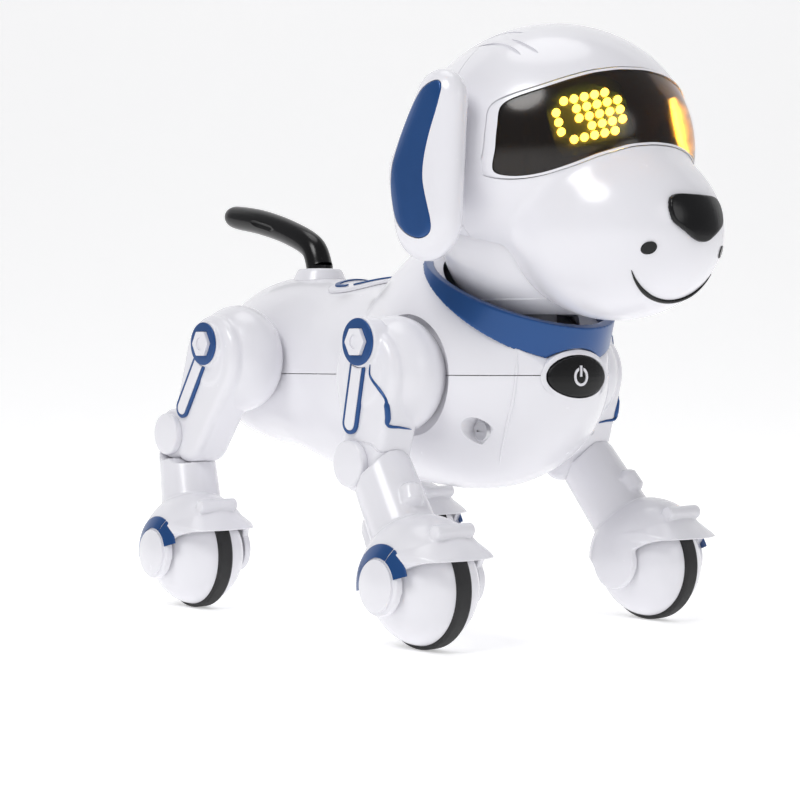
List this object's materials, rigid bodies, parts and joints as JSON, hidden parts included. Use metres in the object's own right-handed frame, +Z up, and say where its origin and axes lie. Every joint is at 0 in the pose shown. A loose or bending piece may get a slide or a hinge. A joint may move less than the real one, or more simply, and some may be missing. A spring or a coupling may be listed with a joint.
{
  "type": "robot dog toy",
  "caption": "Robot puppy toy with swinging legs on ball wheels, drooping ears, a lit visor face, blue collar and a curled tail.",
  "frame": {"origin": "on the floor, under the middle of the whole toy", "axes": "+X forward, towards the nose; +Y to the dog's left; +Z up"},
  "size_m": [0.2786, 0.1616, 0.222],
  "materials": {
    "white_plastic": "glossy white moulded plastic",
    "blue_plastic": "satin metallic blue plastic",
    "black_plastic": "glossy black plastic",
    "smoked_lens": "dark smoked translucent plastic",
    "amber_light": "lit amber light",
    "tyre_rubber": "matt black rubber",
    "steel": "plain steel",
    "circuit_board": "green circuit board",
    "battery_wrap": "blue battery wrap",
    "inner_black": "plain black inner moulding",
    "inner_plastic": "plain grey inner moulding"
  },
  "bodies": {
    "body": {"body_upper_shell": "white_plastic", "body_lower_shell": "white_plastic", "back_touch_panel": "white_plastic", "back_panel_blue_trim": "blue_plastic", "collar": "blue_plastic", "chest_button_bezel": "white_plastic", "neck_post": "inner_plastic", "main_circuit_board": "circuit_board", "battery_pack": "battery_wrap", "battery_door": "white_plastic", "speaker": "inner_black", "leg_gear_motors": "inner_plastic", "body_shell_screws": "steel", "tail_socket": "white_plastic"},
    "power_button": {"power_button": "black_plastic", "power_symbol": "white_plastic"},
    "tail": {"tail": "black_plastic"},
    "neck": {"neck_ball": "white_plastic"},
    "head": {"head_back_shell": "white_plastic", "head_front_shell": "white_plastic", "head_yoke": "inner_plastic", "head_nod_pin": "steel", "visor_lens": "smoked_lens", "visor_rim": "white_plastic", "eye_light_board": "circuit_board", "eye_lights": "amber_light", "nose": "black_plastic", "mouth_line": "black_plastic"},
    "left_ear": {"left_ear_shell": "white_plastic", "left_ear_blue_inlay": "blue_plastic"},
    "right_ear": {"right_ear_shell": "white_plastic", "right_ear_blue_inlay": "blue_plastic"},
    "front_left_leg": {"front_left_thigh": "white_plastic", "front_left_shin_and_wheel_cover": "white_plastic", "front_left_blue_trim": "blue_plastic", "front_left_caps": "white_plastic"},
    "front_left_wheel": {"front_left_wheel_domes": "white_plastic", "front_left_tyre": "tyre_rubber", "front_left_axle": "steel"},
    "front_right_leg": {"front_right_thigh": "white_plastic", "front_right_shin_and_wheel_cover": "white_plastic", "front_right_blue_trim": "blue_plastic", "front_right_caps": "white_plastic"},
    "front_right_wheel": {"front_right_wheel_domes": "white_plastic", "front_right_tyre": "tyre_rubber", "front_right_axle": "steel"},
    "rear_left_leg": {"rear_left_thigh": "white_plastic", "rear_left_shin_and_wheel_cover": "white_plastic", "rear_left_blue_trim": "blue_plastic", "rear_left_caps": "white_plastic"},
    "rear_left_wheel": {"rear_left_wheel_domes": "white_plastic", "rear_left_tyre": "tyre_rubber", "rear_left_axle": "steel"},
    "rear_right_leg": {"rear_right_thigh": "white_plastic", "rear_right_shin_and_wheel_cover": "white_plastic", "rear_right_blue_trim": "blue_plastic", "rear_right_caps": "white_plastic"},
    "rear_right_wheel": {"rear_right_wheel_domes": "white_plastic", "rear_right_tyre": "tyre_rubber", "rear_right_axle": "steel"}
  },
  "joints": [
    {"name": "power_button_press", "type": "slide", "parent": "body", "child": "power_button", "axis": [-1, 0, 0], "range_m": [0, 0.001], "stiffness_N_per_m": 400},
    {"name": "tail_wag", "type": "hinge", "parent": "body", "child": "tail", "pos_m": [-0.072, 0, 0.135], "axis": [0, 0, 1], "range_deg": [-15, 15]},
    {"name": "head_turn", "type": "hinge", "parent": "body", "child": "neck", "pos_m": [0.0585, 0, 0.148], "axis": [0, 0, 1], "range_deg": [-25, 25]},
    {"name": "head_nod", "type": "hinge", "parent": "neck", "child": "head", "pos_m": [0.0585, 0, 0.148], "axis": [0, -1, 0], "range_deg": [-3, 10]},
    {"name": "left_ear_swing", "type": "hinge", "parent": "head", "child": "left_ear", "pos_m": [0.071, 0.05, 0.188], "axis": [0, 1, 0], "range_deg": [0, 50]},
    {"name": "right_ear_swing", "type": "hinge", "parent": "head", "child": "right_ear", "pos_m": [0.071, -0.05, 0.188], "axis": [0, 1, 0], "range_deg": [0, 50]},
    {"name": "front_left_leg_swing", "type": "hinge", "parent": "body", "child": "front_left_leg", "pos_m": [0.031, 0.045, 0.095], "axis": [0, -1, 0], "range_deg": [-25, 60]},
    {"name": "front_right_leg_swing", "type": "hinge", "parent": "body", "child": "front_right_leg", "pos_m": [0.031, -0.045, 0.095], "axis": [0, -1, 0], "range_deg": [-25, 60]},
    {"name": "rear_left_leg_swing", "type": "hinge", "parent": "body", "child": "rear_left_leg", "pos_m": [-0.068, 0.045, 0.101], "axis": [0, -1, 0], "range_deg": [-50, 50]},
    {"name": "rear_right_leg_swing", "type": "hinge", "parent": "body", "child": "rear_right_leg", "pos_m": [-0.068, -0.045, 0.101], "axis": [0, -1, 0], "range_deg": [-50, 50]},
    {"name": "front_left_wheel_spin", "type": "hinge", "parent": "front_left_leg", "child": "front_left_wheel", "pos_m": [0.063, 0.058, 0.022], "axis": [0, 1, 0], "continuous": true},
    {"name": "front_right_wheel_spin", "type": "hinge", "parent": "front_right_leg", "child": "front_right_wheel", "pos_m": [0.063, -0.058, 0.022], "axis": [0, 1, 0], "continuous": true},
    {"name": "rear_left_wheel_spin", "type": "hinge", "parent": "rear_left_leg", "child": "rear_left_wheel", "pos_m": [-0.079, 0.058, 0.022], "axis": [0, 1, 0], "continuous": true},
    {"name": "rear_right_wheel_spin", "type": "hinge", "parent": "rear_right_leg", "child": "rear_right_wheel", "pos_m": [-0.079, -0.058, 0.022], "axis": [0, 1, 0], "continuous": true}
  ]
}
